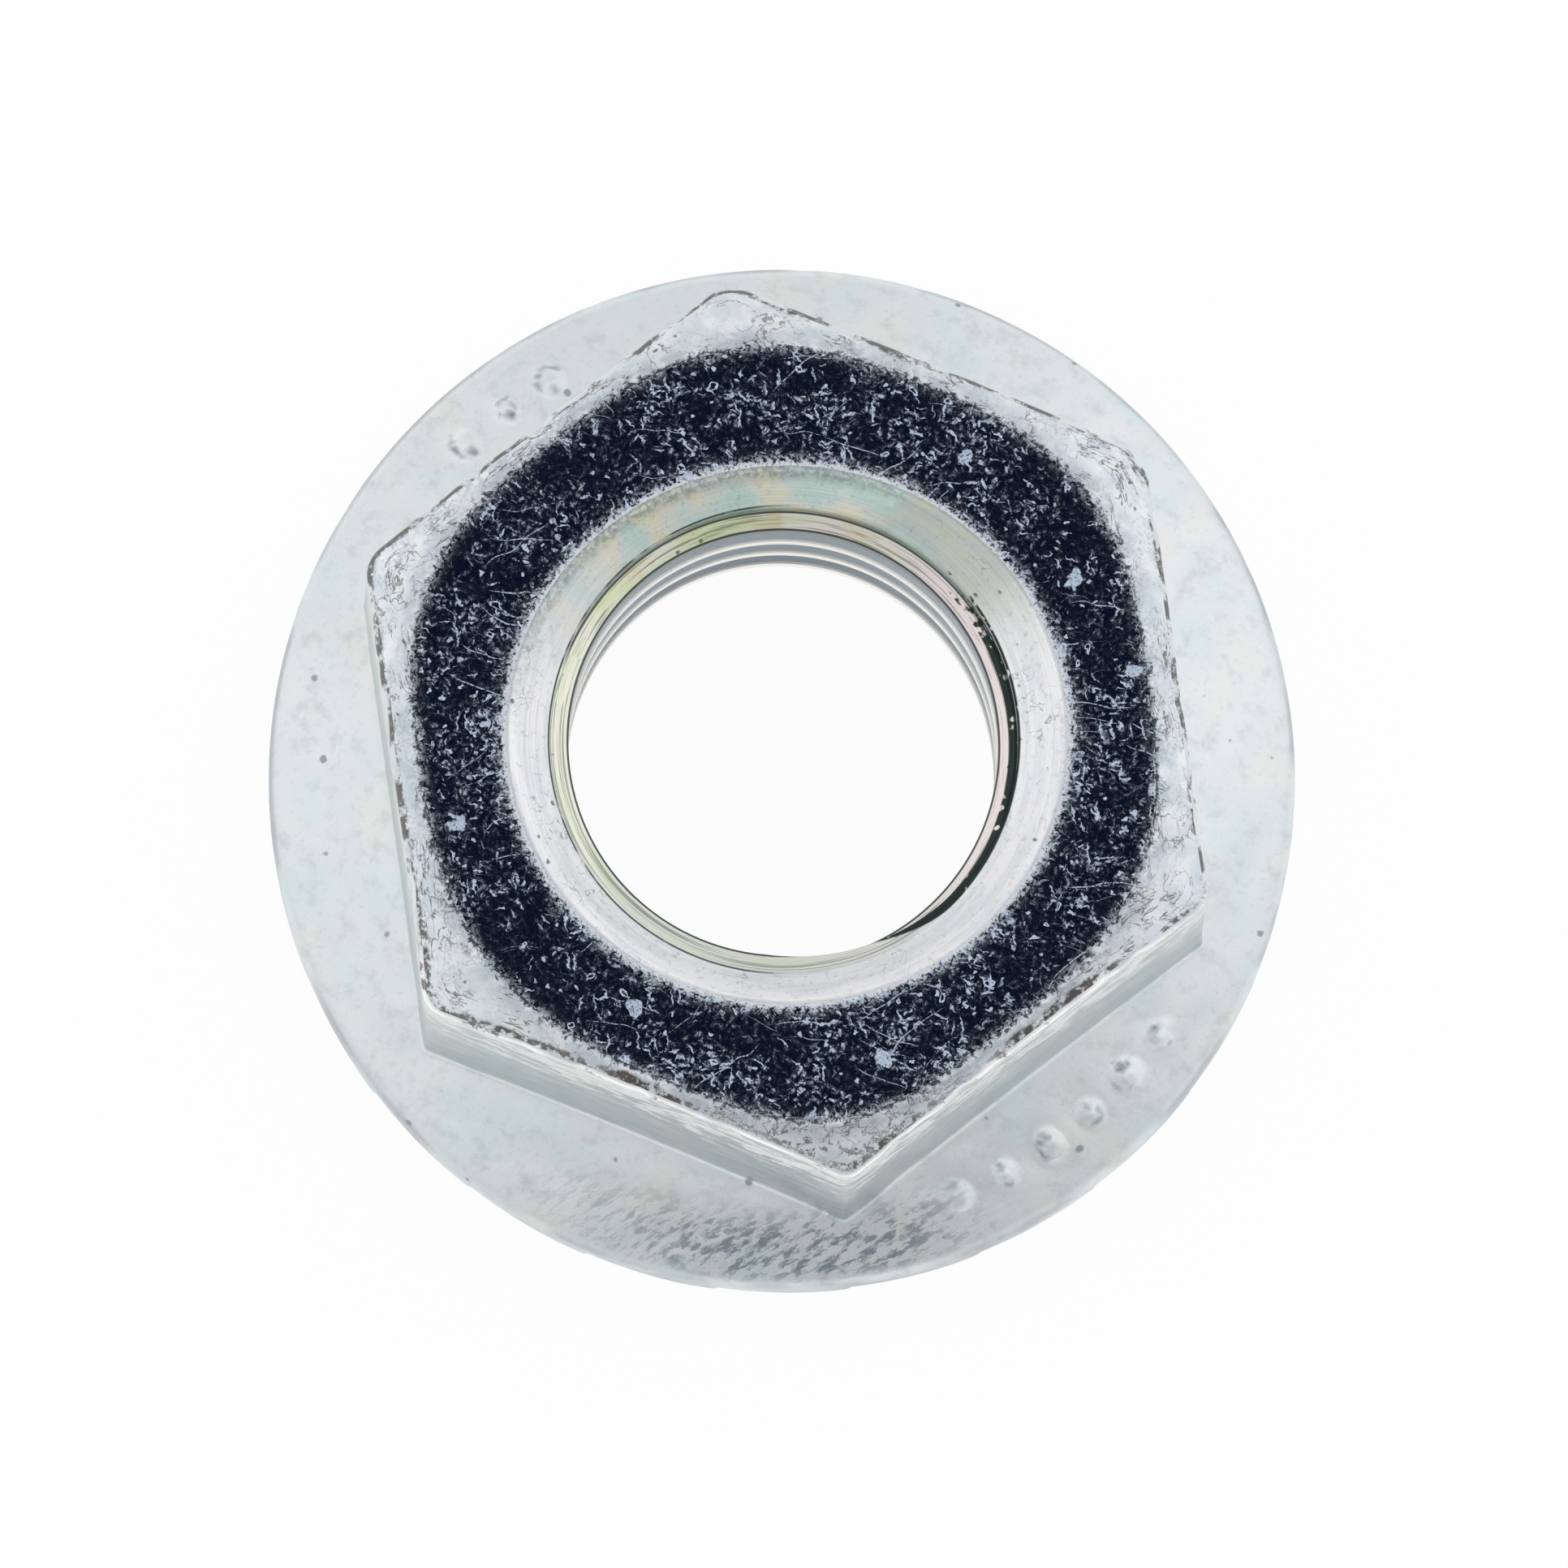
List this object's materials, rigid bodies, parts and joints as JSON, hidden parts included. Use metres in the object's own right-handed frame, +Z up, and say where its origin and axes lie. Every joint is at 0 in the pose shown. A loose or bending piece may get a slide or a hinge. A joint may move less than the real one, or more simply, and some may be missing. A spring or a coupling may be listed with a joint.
{
  "type": "flange lock nut",
  "caption": "Hexagon flange lock nut in zinc-plated steel: a chamfered hexagon on a coned round flange, with a threaded through bore and a serrated bearing face that resists loosening.",
  "frame": {"origin": "on the thread axis, in the plane of the bearing face under the flange", "axes": "+Z up the thread axis towards the top face, +X through a corner of the hexagon"},
  "size_m": [0.0186, 0.0186, 0.0086],
  "materials": {
    "zinc_plate": "bright zinc plate, satin on the flange, polished and scuffed on the top face"
  },
  "bodies": {
    "root": {"flange_nut": "zinc_plate"}
  },
  "joints": []
}
